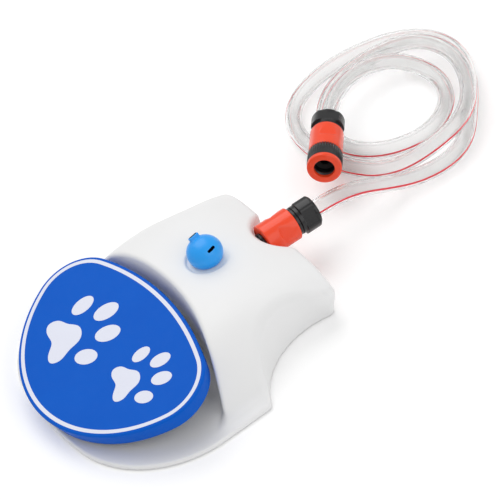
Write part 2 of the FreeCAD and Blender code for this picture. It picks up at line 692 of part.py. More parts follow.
def three_flats(prefix, turn):
    """The hose nut's grip: a round bar with three flats."""
    prism = doc.addObject("Part::Prism", f"{prefix}_flats")
    prism.Polygon = 3
    prism.setExpression("Circumradius", "Sizes.nutFlat * 2")
    prism.setExpression("Height", "Sizes.nutLength")
    prism.Placement = Placement(Vector(0, 0, size("nutStart")), Rotation(Vector(0, 0, 1), turn))
    bar = bound("Cylinder", f"{prefix}_bar", at(0, 0, size("nutStart")), Radius="Sizes.nutRadius",
                Height="Sizes.nutLength")
    grip = doc.addObject("Part::Common", f"{prefix}_grip")
    grip.Base, grip.Tool = prism, bar
    return grip


def tap_parts(place):
    """The tap end in front of the free connector's mouth: ring, threaded grip, nipple and washer."""
    ring, grip, bore = "Sizes.tapRing", "Sizes.tapGrip", "Sizes.tapBore"
    low, high = "-Sizes.gripStart", "-Sizes.gripEnd"
    turned("tap_ring", [(f"{ring} - 1.3", ring, "-24", "-22.6"), (ring, ring, "-22.6", low)],
           [(f"{bore} + 2", f"{bore} + 0.8", "-24", "-21.6"),
            (f"{bore} + 0.8", f"{bore} + 0.8", "-21.6", low)],
           place)
    ribs = doc.addObject("Part::Prism", "tap_ribs")
    ribs.Polygon = 24
    ribs.setExpression("Circumradius", grip)
    ribs.setExpression("Height", "Sizes.gripStart - Sizes.gripEnd")
    ribs.setExpression("Placement.Base.z", low)
    turned("tap_grip", [(f"{grip} - 0.6", f"{grip} - 0.6", low, high)],
           [(bore, bore, low, "-9.4"), (f"{bore} + 0.9", f"{bore} + 0.9", "-9.4", "-6"),
            ("9.2", "9.2", "-6", high)],
           place, (ribs,))
    turned("tap_nipple",
           [("11", "11", "-7.4", "-6"), ("9.1", "9.1", "-6", high), ("8.2", "8.2", high, "9"),
            ("6", "6", "9", "13"), ("7.8", "7.8", "13", "17.4"), ("6.9", "6", "17.4", "20")],
           [("4", "4", "-7.4", "20")], place)
    turned("tap_washer", [("11", "11", "-9.2", "-7.5")], [("5.5", "5.5", "-9.2", "-7.5")], place)


HOSE_ROUTE = [
    (0, 179, 49.6), (0, 208, 49.6), (-1, 240, 42), (-2, 273, 24), (1, 303, 12), (5, 328, 9.5),
    (5, 351, 9.5), (-3, 372, 9.5), (-18, 390, 9.5), (-36, 405, 9.5), (-56.6, 422, 9.5),
    (-83.6, 440.1, 9.5), (-111.1, 452.6, 9.5), (-138.1, 457.9, 9.5), (-163.5, 453.3, 9.5),
    (-185.1, 438.5, 9.5), (-199.8, 416.9, 9.5), (-208.8, 391.6, 9.5), (-213, 365, 9.5),
    (-213, 338, 9.5), (-207, 313, 9.5), (-196, 291, 9.5), (-178, 274, 9.5), (-156, 264, 9.5),
    (-131, 260, 9.5), (-104, 261, 9.5), (-78, 267, 9.5), (-55, 277, 9.5), (-36, 291, 9.5),
    (-22, 309, 13.5), (-13, 328, 20.5), (-9, 348, 26.5), (-11, 370, 28.7), (-20, 391, 28.7),
    (-36, 409, 28.7), (-56, 423, 28.7), (-79, 434, 28.7), (-104, 440, 28.7), (-131.4, 439.1, 28),
    (-156, 431, 25), (-172.1, 415, 22), (-183.3, 394.8, 17), (-190.5, 372.8, 12), (-190.3, 349.5, 9.5),
    (-180.4, 326.5, 9.5), (-164.6, 307, 9.5), (-144.2, 293, 9.5), (-121.9, 285.1, 9.5),
    (-99.7, 284.9, 9.5), (-78.5, 292.4, 9.5), (-60.7, 308, 9.5), (-50, 328.4, 9.5), (-45.2, 351.9, 9.5),
    (-50.5, 376.5, 9.5), (-67.3, 399.2, 9.5), (-91.6, 413.4, 9.5), (-117.8, 416.9, 10.5),
    (-139.5, 409.5, 15), (-155.5, 394, 21.5), (-163.4, 369.3, 27), (-161.1, 346.6, 30.5),
    (-152, 325.8, 33), (-139.1, 306.7, 34.2), (-123.1, 291.15, 35.28), (-102.95, 276.62, 38.14),
]


def hose():
    tube, length, radii = pipe(HOSE_ROUTE, size("hoseOuter"), size("hoseInner"))
    area = math.pi * (size("hoseOuter") ** 2 - size("hoseInner") ** 2)
    print(f"hose: length {length:.0f}, tightest arc {min(radii):.0f}, volume ratio "
          f"{tube.Volume / (area * length):.4f}, radii {[round(r) for r in radii]}")
    return solid("hose", tube)


body_shell()
base_plate()
feet_and_screws()
pedal_parts()
valve_parts()
inlet_parts()
nozzle_parts()
rear_place = Placement(Vector(0, size("mouthY"), size("inletZ")), Rotation(Vector(1, 0, 0), -90))
connector("rear", rear_place, size("rearNutTurn"))
towards_hose = Vector(-0.8058, 0.5811, -0.1144)
free_place = Placement(Vector(-63.47, 248.15, 43.75), Rotation(Vector(0, 0, 1), towards_hose))
connector("free", free_place, size("freeNutTurn"))
tap_parts(free_place)
hose()

doc.recompute()
for thing in doc.Objects:
    if "Invalid" in thing.State or "Error" in thing.State:
        raise RuntimeError(f"{thing.Name} failed: {thing.State}")

os.makedirs("parts", exist_ok=True)
for thing in pieces:
    shape = thing.Shape
    if shape.isNull() or not shape.isValid():
        raise RuntimeError(f"{thing.Label} has no valid shape")
    shape.exportStep(f"parts/{thing.Label}.step")
print(len(pieces), "nodes")
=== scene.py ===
"""Dresses a step-on pet fountain: a white base with a blue tread, a turning nozzle and a clear coiled hose.

Shapes are worked out in millimetres, in the frame's own axes, and become metres when a mesh is made.
"""

import json
import math

import bpy
import numpy as np
from mathutils import Matrix, Vector


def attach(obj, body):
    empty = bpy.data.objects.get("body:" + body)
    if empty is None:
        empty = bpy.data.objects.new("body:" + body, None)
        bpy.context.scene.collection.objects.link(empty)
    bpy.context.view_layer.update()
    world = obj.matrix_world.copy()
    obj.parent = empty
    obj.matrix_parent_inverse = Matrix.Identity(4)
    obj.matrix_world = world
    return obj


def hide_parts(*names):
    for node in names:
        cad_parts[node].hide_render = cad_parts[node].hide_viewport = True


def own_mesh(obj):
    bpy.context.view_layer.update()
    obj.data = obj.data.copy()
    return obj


MM = 0.001

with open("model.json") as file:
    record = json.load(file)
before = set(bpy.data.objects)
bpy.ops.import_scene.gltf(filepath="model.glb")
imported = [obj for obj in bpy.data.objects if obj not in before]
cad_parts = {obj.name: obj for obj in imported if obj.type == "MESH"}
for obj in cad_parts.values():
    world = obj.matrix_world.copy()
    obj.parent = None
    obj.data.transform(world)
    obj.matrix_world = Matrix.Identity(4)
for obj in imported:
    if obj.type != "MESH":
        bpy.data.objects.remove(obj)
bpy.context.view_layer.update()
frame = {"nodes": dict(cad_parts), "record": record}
nodes = frame["nodes"]


# Meshes from distance fields

SLOPE_SHARE = 0.2
LEAST_SLOPE = 0.2
SETTLING_PASSES = 3


def round_max(a, b, radius):
    """The overlap of two solids, its outer edge rounded."""
    inner = np.minimum(np.maximum(a, b), -radius)
    return inner + np.hypot(np.maximum(a + radius, 0), np.maximum(b + radius, 0))


def round_min(a, b, radius):
    """Two solids joined, the corner between them filled to a radius."""
    return -round_max(-a, -b, radius)


def slope(field, points, reach):
    """A field's gradient at points."""
    parts = []
    for axis in range(3):
        offset = np.zeros(3)
        offset[axis] = reach
        ahead, behind = points + offset, points - offset
        parts.append((field(*ahead.T) - field(*behind.T)) / (2 * reach))
    return np.stack(parts, axis=1)


def field_surface(field, low, high, step):
    """The zero surface of a field as points and quads, one point per grid cell that it crosses."""
    axes = [np.arange(a, b + step, step) for a, b in zip(low, high)]
    grid = np.meshgrid(*axes, indexing="ij")
    value = field(*grid)
    inside = value < 0
    cells = tuple(n - 1 for n in value.shape)
    total = np.zeros(cells + (3,))
    count = np.zeros(cells)
    corners = [np.array(c) for c in np.ndindex(2, 2, 2)]
    for a in corners:
        for b in corners:
            if (b - a).sum() != 1 or np.abs(b - a).sum() != 1:
                continue
            at_a = tuple(slice(c, c + n) for c, n in zip(a, cells))
            at_b = tuple(slice(c, c + n) for c, n in zip(b, cells))
            crossed = inside[at_a] != inside[at_b]
            share = np.where(crossed, value[at_a] / np.where(crossed, value[at_a] - value[at_b], 1), 0)
            for axis in range(3):
                total[..., axis] += np.where(crossed, a[axis] + share * (b - a)[axis], 0)
            count += crossed
    used = count > 0
    index = np.full(cells, -1)
    index[used] = np.arange(used.sum())
    where = np.stack(np.nonzero(used), axis=1)
    points = np.array(low) + step * (where + total[used] / count[used][:, None])
    quads = []
    for axis in range(3):
        ahead = tuple(slice(1, None) if i == axis else slice(1, -1) for i in range(3))
        behind = tuple(slice(0, -1) if i == axis else slice(1, -1) for i in range(3))
        start, end = inside[behind], inside[ahead]
        i, j, k = (c + (0 if n == axis else 1) for n, c in enumerate(np.nonzero(start != end)))
        u, v = [n for n in range(3) if n != axis]
        around = []
        for du, dv in ((0, 0), (-1, 0), (-1, -1), (0, -1)):
            place = [i.copy(), j.copy(), k.copy()]
            place[u] += du
            place[v] += dv
            around.append(index[place[0], place[1], place[2]])
        found = np.stack(around, axis=1)
        outward = start[start != end]
        if axis == 1:
            outward = ~outward
        quads.append(np.where(outward[:, None], found, found[:, ::-1]))
    quads = np.concatenate(quads)
    for _ in range(SETTLING_PASSES):
        gradient = slope(field, points, step * SLOPE_SHARE)
        size = np.maximum((gradient**2).sum(axis=1), LEAST_SLOPE)
        move = field(*points.T)[:, None] * gradient / size[:, None]
        points = points - np.clip(move, -step, step)
    return points, quads


def mesh_object(name, points, faces, material, smooth=True):
    """A mesh in metres from points in millimetres."""
    mesh = bpy.data.meshes.new(name)
    mesh.from_pydata((np.asarray(points) * MM).tolist(), [], [list(face) for face in faces])
    mesh.polygons.foreach_set("use_smooth", [smooth] * len(mesh.polygons))
    mesh.materials.append(material)
    mesh.update()
    thing = bpy.data.objects.new(name, mesh)
    bpy.context.scene.collection.objects.link(thing)
    return thing


def field_object(name, field, low, high, step, material, place=None):
    """A field's surface as an object, moved by a rigid place given in millimetres."""
    points, quads = field_surface(field, low, high, step)
    if place is not None:
        points = moved(points, place)
    return mesh_object(name, points, quads, material)


def moved(points, place):
    matrix = np.array(place)
    return np.asarray(points) @ matrix[:3, :3].T + matrix[:3, 3]


def loops_mesh(loops, closed_ends=True):
    """Quads between rings of equal length, with a fan over each end."""
    count = len(loops[0])
    points = [point for loop in loops for point in loop]
    faces = []
    for i in range(len(loops) - 1):
        for j in range(count):
            k = (j + 1) % count
            faces.append((i * count + j, i * count + k, (i + 1) * count + k, (i + 1) * count + j))
    if closed_ends:
        for ring, turn in ((0, -1), (len(loops) - 1, 1)):
            middle = len(points)
            points.append(tuple(np.mean(loops[ring], axis=0)))
            for j in range(count):
                a, b = ring * count + j, ring * count + (j + 1) % count
                faces.append((a, b, middle)[::turn])
    return points, faces


def dress(thing, body, slot, *replaced):
    """Puts a piece on its body, in place of nodes."""
    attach(thing, body)
    if replaced:
        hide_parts(*replaced)
    return thing


# Materials

NOISE_LOW = 0.3
NOISE_HIGH = 0.7
CLOUD_SCALE = 25.0
GLOSS_SCALE = 150.0
GRAIN_SCALE = 1400.0
FINE_GRAIN = 2500.0
GRAIN_STRENGTH = 0.25
GRAIN_DEPTH = 0.00002
SOFT_REACH = (0.004, 0.004, 0.004)
STREAK_SCALE = 300.0
VINYL_GLOSS_SCALE = 60.0
VINYL_WAVE_SCALE = 240.0
VINYL_WAVE_DEPTH = 0.00005


def new_material(name):
    material = bpy.data.materials.new(name)
    material.use_nodes = True
    tree = material.node_tree
    return material, tree, tree.nodes["Principled BSDF"]


def noise(tree, scale, detail=3.0):
    texture = tree.nodes.new("ShaderNodeTexNoise")
    texture.inputs["Scale"].default_value = scale
    texture.inputs["Detail"].default_value = detail
    texture.inputs["Roughness"].default_value = 0.5
    place = tree.nodes.new("ShaderNodeTexCoord")
    tree.links.new(place.outputs["Object"], texture.inputs["Vector"])
    return texture.outputs["Fac"]


def between(tree, fac, low, high):
    """A value that runs from low to high with fac."""
    span = tree.nodes.new("ShaderNodeMapRange")
    span.inputs["From Min"].default_value = NOISE_LOW
    span.inputs["From Max"].default_value = NOISE_HIGH
    span.inputs["To Min"].default_value = low
    span.inputs["To Max"].default_value = high
    tree.links.new(fac, span.inputs["Value"])
    return span.outputs["Result"]


def tint(tree, fac, dark, light):
    mix = tree.nodes.new("ShaderNodeMix")
    mix.data_type = "RGBA"
    mix.inputs["A"].default_value = (*dark, 1)
    mix.inputs["B"].default_value = (*light, 1)
    tree.links.new(fac, mix.inputs["Factor"])
    return mix.outputs["Result"]


def bump(tree, shader, height, strength, distance):
    node = tree.nodes.new("ShaderNodeBump")
    node.inputs["Strength"].default_value = strength
    node.inputs["Distance"].default_value = distance
    tree.links.new(height, node.inputs["Height"])
    tree.links.new(node.outputs["Normal"], shader.inputs["Normal"])


def plastic(name, dark, light, rough, grain=GRAIN_SCALE, shine=0.5, soft=0.0):
    """Moulded plastic: faint clouds in its colour, uneven gloss and a fine grain."""
    material, tree, shader = new_material(name)
    clouds = noise(tree, CLOUD_SCALE, 4.0)
    tree.links.new(tint(tree, clouds, dark, light), shader.inputs["Base Color"])
    tree.links.new(between(tree, noise(tree, GLOSS_SCALE), *rough), shader.inputs["Roughness"])
    bump(tree, shader, noise(tree, grain, 2.0), GRAIN_STRENGTH, GRAIN_DEPTH)
    shader.inputs["Specular IOR Level"].default_value = shine
    shader.inputs["Subsurface Weight"].default_value = soft
    shader.inputs["Subsurface Radius"].default_value = SOFT_REACH
    return material


def metal(name, colour, rough):
    """Drawn metal with fine streaks in its colour and gloss."""
    material, tree, shader = new_material(name)
    shader.inputs["Metallic"].default_value = 1.0
    streaks = noise(tree, STREAK_SCALE, 4.0)
    dark = tuple(c * 0.85 for c in colour)
    tree.links.new(tint(tree, streaks, dark, colour), shader.inputs["Base Color"])
    tree.links.new(between(tree, streaks, rough * 0.8, rough * 1.3), shader.inputs["Roughness"])
    return material


def clear_vinyl(name):
    """The hose's clear wall, a little milky and uneven."""
    material, tree, shader = new_material(name)
    shader.inputs["Base Color"].default_value = (0.985, 0.99, 0.985, 1)
    shader.inputs["Transmission Weight"].default_value = 0.95
    shader.inputs["IOR"].default_value = 1.2
    shader.inputs["Alpha"].default_value = 0.55
    tree.links.new(between(tree, noise(tree, VINYL_GLOSS_SCALE), 0.03, 0.08), shader.inputs["Roughness"])
    bump(tree, shader, noise(tree, VINYL_WAVE_SCALE, 2.0), 0.1, VINYL_WAVE_DEPTH)
    return material


def make_materials():
    return {
        "white_shell": plastic("white_shell", (0.84, 0.84, 0.84), (0.87, 0.87, 0.87), (0.42, 0.52),
                               soft=0.05),
        "blue_pedal": plastic("blue_pedal", (0.001, 0.1, 0.56), (0.002, 0.115, 0.6), (0.4, 0.5),
                              shine=0.08),
        "white_inlay": plastic("white_inlay", (0.77, 0.79, 0.9), (0.80, 0.82, 0.93), (0.4, 0.5),
                               grain=FINE_GRAIN, shine=0.2),
        "grey_frame": plastic("grey_frame", (0.45, 0.46, 0.48), (0.5, 0.51, 0.53), (0.5, 0.6)),
        "sky_blue": plastic("sky_blue", (0.008, 0.33, 0.9), (0.012, 0.37, 0.95), (0.28, 0.36)),
        "steel": metal("steel", (0.62, 0.63, 0.65), 0.3),
        "black_rubber": plastic("black_rubber", (0.012, 0.012, 0.012), (0.02, 0.02, 0.02), (0.6, 0.75)),
        "white_fitting": plastic("white_fitting", (0.72, 0.72, 0.72), (0.78, 0.78, 0.78), (0.45, 0.55)),
        "inner_tube": plastic("inner_tube", (0.6, 0.62, 0.6), (0.66, 0.68, 0.66), (0.3, 0.4)),
        "black_plastic": plastic("black_plastic", (0.006, 0.006, 0.007), (0.01, 0.01, 0.011), (0.2, 0.27)),
        "orange_plastic": plastic("orange_plastic", (0.9, 0.06, 0.014), (0.94, 0.072, 0.018), (0.16, 0.22)),
        "clear_hose": clear_vinyl("clear_hose"),
    }


LOOKS = make_materials()
# Painted shade: a near-black blue for the faces inside the nozzle's bore and slot, standing in for the
# darkness deep inside them.
PAINTED_SHADE_BLUE = plastic("painted_shade_blue", (0.001, 0.008, 0.03), (0.002, 0.01, 0.04), (0.6, 0.7), shine=0.1)
RED_LINE = plastic("red_line", (0.78, 0.006, 0.02), (0.85, 0.01, 0.03), (0.3, 0.4))


def paint_frame_nodes():
    """Every node takes the finish of its own slot."""
    for entry in frame["record"]["subparts"]:
        node = nodes[entry["node"]]
        node.data.materials.clear()
        node.data.materials.append(LOOKS[entry["material_slot"]])


# Base

BASE_FRONT = 142.0
FRONT_RADIUS = 400.0
CORNER_RADIUS = 108.0
CORNER_OFFSET = 42.0
SIDE_TIP = (148.0, 26.0)
REAR_CORNER = (101.0, 147.3)
BOTTOM = 1.0
PLATFORM = 5.5
HUMP_HEIGHT = 74.0
HUMP_HALF_WIDTH = 137.0
HUMP_CENTRE = 54.0
HUMP_SIDE_POWER = 5.0
HUMP_FRONT = (150.0, 2.6)
HUMP_REAR = (180.0, 2.0)
SCALLOP = (178.0, 117.0)
SCALLOP_RADIUS = 92.3
SCALLOP_SHIFT = (-21.3, -24.0)
SCALLOP_SHRINK = 29.2
SCALLOP_RISE = 45.0
SCALLOP_EASE = 6.0
NOTCH_CENTRE = 159.0
NOTCH_RADIUS = 34.0
RECESS_CENTRE = -231.5
RECESS_RADIUS = 253.0
RECESS_DRAFT = 0.06
VALVE_Y = -20.0
TOWER_RADIUS = 20.0
TOWER_TOP = 24.0
PLUNGER_HOLE = 4.0
NOZZLE_Y = 69.0
NOZZLE_SEAT = 71.5
NOZZLE_RING = 21.5
PLATE_POCKET = 3.3
PLATE_EDGE = 2.8
CORNER_ROUND = 6.0
HINGE = (-121.0, 13.0)
EAR_X = 36.0
EAR_HALF = 3.0
EAR_RADIUS = 4.4
LOW_EDGE = 2.4
SCALLOP_EDGE = 7.0
REAR_EDGE = 5.0
EDGE_GROWTH = 0.3
RECESS_EDGE = 4.0
FOOT_ROUND = (3.0, 14.0)
FOOT_GROWTH = 0.7
FOOT_START = 122.0
TIP_ROUND = 3.0
LOBE_ROUND = 12.0
LOBE_GROWTH = 0.25
LOBE_START = 60.0
TOWER_ROUND = 1.5
EAR_ROUND = 0.6
SEAT_ROUND = 0.8
BOTTOM_ROUND = 0.5
BASE_LOW = (-153, -146, -1)
BASE_HIGH = (153, 151, 77)
BASE_STEP = 1.6


def arc_points(centre, radius, start, end, count):
    angles = np.radians(np.linspace(start, end, count))
    return np.stack([centre[0] + radius * np.cos(angles), centre[1] + radius * np.sin(angles)], axis=1)


def base_outline(inset):
    """The base's outline without its scallops, drawn in by inset."""
    middle = FRONT_RADIUS - BASE_FRONT
    reach = FRONT_RADIUS - CORNER_RADIUS
    corner = (CORNER_OFFSET, middle - math.sqrt(reach**2 - CORNER_OFFSET**2))
    turn = math.degrees(math.atan2(corner[1] - middle, corner[0]))
    front = arc_points((0, middle), FRONT_RADIUS - inset, -90, turn, 24)
    side = arc_points(corner, CORNER_RADIUS - inset, turn, 0, 40)[1:]
    tip = [(SIDE_TIP[0] - inset, SIDE_TIP[1])]
    rear = [(REAR_CORNER[0] - inset, REAR_CORNER[1] - inset)]
    half = np.concatenate([front, side, tip, rear])
    return np.concatenate([half, half[:0:-1] * (-1, 1)])


def polygon_distance(polygon, x, y):
    """Signed distance to a polygon, negative inside it."""
    nearest = np.full(x.shape, np.inf)
    inside = np.zeros(x.shape, bool)
    for (ax, ay), (bx, by) in zip(polygon, np.roll(polygon, -1, axis=0)):
        ex, ey = bx - ax, by - ay
        share = np.clip(((x - ax) * ex + (y - ay) * ey) / (ex**2 + ey**2), 0, 1)
        nearest = np.minimum(nearest, np.hypot(x - ax - share * ex, y - ay - share * ey))
        if ay != by:
            crosses = (ay > y) != (by > y)
            inside ^= crosses & (x < ax + (y - ay) * ex / ey)
    return np.where(inside, -nearest, nearest)


def outline_table(step=1.0, reach=165.0):
    """The outline's distance on a fine grid, and a function that reads it."""
    lines = np.arange(-reach, reach + step, step)
    x, y = np.meshgrid(lines, lines, indexing="ij")
    table = polygon_distance(base_outline(CORNER_ROUND), x, y) - CORNER_ROUND

    def read(x, y):
        u = np.clip((x + reach) / step, 0, len(lines) - 1.001)
        v = np.clip((y + reach) / step, 0, len(lines) - 1.001)
        i, j = u.astype(int), v.astype(int)
        u, v = u - i, v - j
        low = table[i, j] * (1 - u) + table[i + 1, j] * u
        high = table[i, j + 1] * (1 - u) + table[i + 1, j + 1] * u
        return low * (1 - v) + high * v

    return read


def hump_distance(x, y, z):
    front = y < HUMP_CENTRE
    length = np.where(front, HUMP_FRONT[0], HUMP_REAR[0])
    power = np.where(front, HUMP_FRONT[1], HUMP_REAR[1])
    u, v = np.abs(x) / HUMP_HALF_WIDTH, np.maximum(np.abs(y - HUMP_CENTRE) / length, 1e-6)
    level = HUMP_HEIGHT * (1 - u**HUMP_SIDE_POWER - v**power)
    fall_x = HUMP_HEIGHT * HUMP_SIDE_POWER * u ** (HUMP_SIDE_POWER - 1) / HUMP_HALF_WIDTH
    fall_y = HUMP_HEIGHT * power * v ** (power - 1) / length
    return (z - level) / np.sqrt(1 + fall_x**2 + fall_y**2)


def scallop_distance(x, y, z):
    """How far a point lies inside a side scallop, which narrows and moves forward as it rises."""
    level = np.maximum(z, 0) / SCALLOP_RISE
    share = level / (1 + level**SCALLOP_EASE) ** (1 / SCALLOP_EASE)
    rate = (1 + level**SCALLOP_EASE) ** (-1 - 1 / SCALLOP_EASE) / SCALLOP_RISE
    across = np.abs(x) - SCALLOP[0] - SCALLOP_SHIFT[0] * share
    along = y - SCALLOP[1] - SCALLOP_SHIFT[1] * share
    reach = np.maximum(np.hypot(across, along), 1e-6)
    fall = rate * ((across * SCALLOP_SHIFT[0] + along * SCALLOP_SHIFT[1]) / reach - SCALLOP_SHRINK)
    return (SCALLOP_RADIUS - SCALLOP_SHRINK * share - reach) / np.hypot(1, fall)


def base_field(outline):
    """The base's outer form: hump, tread recess, platform, scallops, notch, hinge ears and nozzle seat."""

    def field(x, y, z):
        recess = RECESS_RADIUS + RECESS_DRAFT * (z - PLATFORM) - np.hypot(x, y - RECESS_CENTRE)
        hump = round_max(hump_distance(x, y, z), recess, RECESS_EDGE)
        foot = np.clip(FOOT_ROUND[0] + FOOT_GROWTH * (np.abs(x) - FOOT_START), *FOOT_ROUND)
        form = round_min(hump, z - PLATFORM, foot)
        rise = (z - PLATFORM) * EDGE_GROWTH
        scallop = scallop_distance(x, y, z)
        rim = outline(x, y)
        notch = NOTCH_RADIUS - np.hypot(x, y - NOTCH_CENTRE)
        corner = np.clip(TIP_ROUND + LOBE_GROWTH * (y - LOBE_START), TIP_ROUND, LOBE_ROUND)
        sides = round_max(scallop, rim, corner)
        high_edge = np.where(scallop > rim, SCALLOP_EDGE, REAR_EDGE)
        form = round_max(form, sides, np.clip(LOW_EDGE + rise, LOW_EDGE, high_edge))
        form = round_max(form, notch, REAR_EDGE)
        tower = round_max(np.hypot(x, y - VALVE_Y) - TOWER_RADIUS, z - TOWER_TOP, TOWER_ROUND)
        form = round_min(form, tower, TOWER_ROUND)
        ear = np.hypot(y - HINGE[0], z - np.clip(z, PLATFORM, HINGE[1])) - EAR_RADIUS
        form = np.minimum(form, round_max(ear, np.abs(np.abs(x) - EAR_X) - EAR_HALF, EAR_ROUND))
        form = np.maximum(form, PLUNGER_HOLE - np.hypot(x, y - VALVE_Y))
        seat = np.maximum(np.hypot(x, y - NOZZLE_Y) - NOZZLE_RING, NOZZLE_SEAT - z)
        form = round_max(form, -seat, SEAT_ROUND)
        side = np.maximum(np.maximum(rim, scallop), notch)
        pocket = np.maximum(side + PLATE_EDGE, z - PLATE_POCKET)
        form = np.maximum(form, -pocket)
        return round_max(form, BOTTOM - z, BOTTOM_ROUND)

    return field


def build_base():
    field = base_field(outline_table())
    base = field_object("fountain_base", field, BASE_LOW, BASE_HIGH, BASE_STEP, LOOKS["white_shell"])
    return dress(base, "base", "white_shell", "body_shell")


# Tread

TREAD_TILT = 13.3
TREAD_PLACE = Matrix.Translation((0, -141.0, 26.2)) @ Matrix.Rotation(math.radians(TREAD_TILT), 4, "X")
STRIPE_FRONT = (130.0, 128.5)
STRIPE_REAR = (280.0, -125.0)
STRIPE_CORNER = 45.0
TREAD_EDGE = 5.5
TREAD_ROUND = 2.2
TREAD_DEPTH = 19.0
TREAD_TAPER = 3.0
TREAD_WALL = 2.6
TREAD_LIP = 0.3
TREAD_MIDDLE = (0, 76.0)


def tread_outline(outset):
    """The tread's outline: front and rear arcs joined by two corner arcs, all tangent."""
    front, front_y = STRIPE_FRONT[0] + outset, STRIPE_FRONT[1]
    rear, rear_y = STRIPE_REAR[0] + outset, STRIPE_REAR[1]
    corner = STRIPE_CORNER + outset
    apart = front_y - rear_y
    along = ((rear - corner) ** 2 - (front - corner) ** 2 + apart**2) / (2 * apart)
    x, y = math.sqrt((rear - corner) ** 2 - along**2), rear_y + along
    low = math.degrees(math.atan2(y - front_y, x))
    high = math.degrees(math.atan2(y - rear_y, x))
    half = np.concatenate([
        arc_points((0, front_y), front, -90, low, 60)[:-1],
        arc_points((x, y), corner, low, high, 44)[:-1],
        arc_points((0, rear_y), rear, high, 90, 40),
    ])
    return np.concatenate([half, half[-2:0:-1] * (-1, 1)])


def tread_loop(outset, level, share=1.0):
    outline = tread_outline(outset)
    outline = TREAD_MIDDLE + (outline - TREAD_MIDDLE) * share
    return [(x, y, level) for x, y in outline]


def build_tread():
    """The blue cover: a flat top, a rounded edge and a skirt that draws in."""
    loops = [tread_loop(TREAD_EDGE - TREAD_ROUND, 0, share) for share in (0.2, 0.5, 0.8, 0.97)]
    for turn in np.radians(np.linspace(0, 90, 9)):
        inset = TREAD_ROUND * (1 - math.sin(turn))
        loops.append(tread_loop(TREAD_EDGE - inset, -TREAD_ROUND * (1 - math.cos(turn))))
    low, edge = -TREAD_DEPTH, TREAD_EDGE - TREAD_TAPER
    for share in (0.3, 0.6, 0.9, 0.97):
        level = -TREAD_ROUND + (low + TREAD_ROUND) * share
        loops.append(tread_loop(TREAD_EDGE - TREAD_TAPER * share, level))
    loops.append(tread_loop(edge - TREAD_LIP, low))
    loops.append(tread_loop(edge - TREAD_WALL + TREAD_LIP, low))
    loops.append(tread_loop(edge - TREAD_WALL, low + 2 * TREAD_LIP))
    loops.append(tread_loop(TREAD_EDGE - TREAD_WALL - 0.5, -TREAD_WALL - 0.8))
    loops.append(tread_loop(TREAD_EDGE - TREAD_WALL - 1.5, -TREAD_WALL))
    loops.append(tread_loop(0, -TREAD_WALL, 0.5))
    points, faces = loops_mesh(loops[::-1])
    tread = mesh_object("tread_cover", moved(points, TREAD_PLACE), faces, LOOKS["blue_pedal"])
    return dress(tread, "pedal", "blue_pedal", "pedal_cover")


# Nozzle

BALL_RADIUS = 18.2
BALL_CENTRE = 9.8
BALL_CROWN = 15.8
BALL_LIFT = 0.4
NOZZLE_TURN = 11.7
SPOUT_MOUTH = (-11.0, 16.6)
SPOUT_LEAN = 30.0
SPOUT_HALF = (2.4, 5.6, 7.5)
SPOUT_BORE = (1.35, 4.5, 6.0)
SLOT_LEAN = 53.0
SLOT_TURN = 4.0
SLOT_RADIUS = 1.4
SLOT_STRAIGHT = 3.1
SLOT_FLOOR = 9.0
SPOUT_CORNER = 1.0
SPOUT_FILLET = 1.2
BORE_CORNER = 0.5
BORE_PAST_MOUTH = 2.0
SPOUT_LIP = 0.3
SLOT_LIP = 0.4
BALL_FOOT = 0.6
# How close to the bore and slot walls a face must lie to get the painted shade.
PAINTED_SHADE_SKIN = 0.15
NOZZLE_LOW = (-20, -20, -1)
NOZZLE_HIGH = (20, 20, 31)
NOZZLE_STEP = 0.45


def box_distance(x, y, z, half, radius):
    qx, qy, qz = np.abs(x) - half[0] + radius, np.abs(y) - half[1] + radius, np.abs(z) - half[2] + radius
    outside = np.sqrt(np.maximum(qx, 0) ** 2 + np.maximum(qy, 0) ** 2 + np.maximum(qz, 0) ** 2)
    return outside + np.minimum(np.maximum(qx, np.maximum(qy, qz)), 0) - radius


def turned_axes(a, b, degrees):
    """Two coordinates in axes turned by an angle."""
    turn = math.radians(degrees)
    return a * math.cos(turn) - b * math.sin(turn), a * math.sin(turn) + b * math.cos(turn)


def spout_axes(x, z):
    return turned_axes(x - SPOUT_MOUTH[0], z - SPOUT_MOUTH[1] - BALL_CENTRE, -SPOUT_LEAN)


def spout_bore(x, y, z):
    """The spout's flat hollow, a little past its mouth."""
    u, w = spout_axes(x, z)
    return box_distance(u, y, w + SPOUT_BORE[2] - BORE_PAST_MOUTH, SPOUT_BORE, BORE_CORNER)


def ball_slot(x, y, z):
    """A round-ended slot in the ball's wall, across from the spout."""
    across, out = turned_axes(x, z - BALL_CENTRE, SLOT_LEAN)
    along, across = turned_axes(y, across, SLOT_TURN)
    slot = np.hypot(across, np.maximum(np.abs(along) - SLOT_STRAIGHT, 0)) - SLOT_RADIUS
    return np.maximum(slot, SLOT_FLOOR - out)


def nozzle_field(x, y, z):
    """A ball cut level below, with a flat spout that leans to one side and a round-ended slot."""
    tall = np.where(z > BALL_CENTRE, BALL_CROWN, BALL_RADIUS)
    level = np.sqrt((x**2 + y**2) / BALL_RADIUS**2 + (z - BALL_CENTRE) ** 2 / tall**2)
    fall = np.sqrt((x**2 + y**2) / BALL_RADIUS**4 + (z - BALL_CENTRE) ** 2 / tall**4)
    form = level * (level - 1) / np.maximum(fall, 1e-6)
    u, w = spout_axes(x, z)
    spout = box_distance(u, y, w + SPOUT_HALF[2], SPOUT_HALF, SPOUT_CORNER)
    form = round_min(form, spout, SPOUT_FILLET)
    form = round_max(form, -spout_bore(x, y, z), SPOUT_LIP)
    form = round_max(form, -ball_slot(x, y, z), SLOT_LIP)
    return round_max(form, -z, BALL_FOOT)


